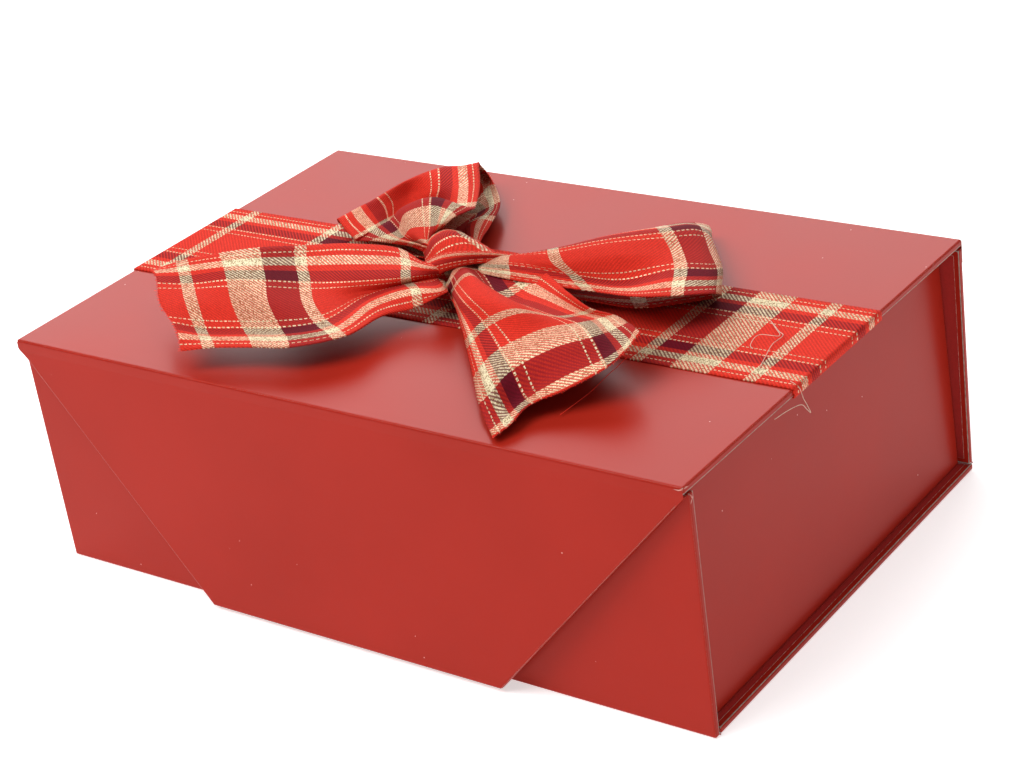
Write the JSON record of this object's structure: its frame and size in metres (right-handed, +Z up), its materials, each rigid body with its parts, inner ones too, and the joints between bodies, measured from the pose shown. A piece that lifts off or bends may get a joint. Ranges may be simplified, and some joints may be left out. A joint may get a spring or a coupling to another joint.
{
  "type": "gift box",
  "caption": "Hinged-lid gift box of red wrapped board with a magnetic fold-over front flap and a plaid ribbon tied in a bow across the lid.",
  "frame": {"origin": "middle of the base's underside, on the surface that the box stands on", "axes": "+X along the long front, to the right of someone facing the flap; the front with the flap faces -Y; +Z up"},
  "size_m": [0.301, 0.2031, 0.122],
  "materials": {
    "red_wrap": "matt laminated",
    "red_liner": "uncoated matt",
    "greyboard": "raw",
    "plaid_ribbon": "woven with metallic yarn",
    "magnet": "nickel plated",
    "tape": "adhesive film"
  },
  "bodies": {
    "tray": {"base_board": "greyboard", "base_wrap": "red_wrap", "base_liner": "red_liner", "front_board": "greyboard", "front_wrap": "red_wrap", "front_liner": "red_liner", "spine_board": "greyboard", "spine_wrap": "red_wrap", "spine_liner": "red_liner", "left_end_board": "greyboard", "left_end_wrap": "red_wrap", "left_end_liner": "red_liner", "right_end_board": "greyboard", "right_end_wrap": "red_wrap", "right_end_liner": "red_liner", "base_front_fold": "red_wrap", "base_spine_fold": "red_wrap", "lid_fold": "red_wrap", "left_end_fold": "red_liner", "right_end_fold": "red_liner", "end_tabs": "red_liner", "tab_tape": "tape", "front_magnets": "magnet"},
    "lid": {"lid_board": "greyboard", "lid_wrap": "red_wrap", "lid_liner": "red_liner", "flap_fold": "red_wrap", "ribbon_band": "plaid_ribbon", "bow_knot": "plaid_ribbon", "bow_left_tail": "plaid_ribbon", "bow_front_tail": "plaid_ribbon", "bow_right_loop": "plaid_ribbon", "bow_back_loop": "plaid_ribbon"},
    "flap": {"flap_board": "greyboard", "flap_wrap": "red_wrap", "flap_liner": "red_liner", "flap_magnets": "magnet"}
  },
  "joints": [
    {"name": "lid_hinge", "type": "hinge", "parent": "tray", "child": "lid", "pos_m": [0, 0.0975, 0.0952], "axis": [-1, 0, 0], "range_deg": [0, 180]},
    {"name": "flap_hinge", "type": "hinge", "parent": "lid", "child": "flap", "pos_m": [0, -0.1006, 0.0943], "axis": [-1, 0, 0], "range_deg": [-3.1, 170]}
  ]
}
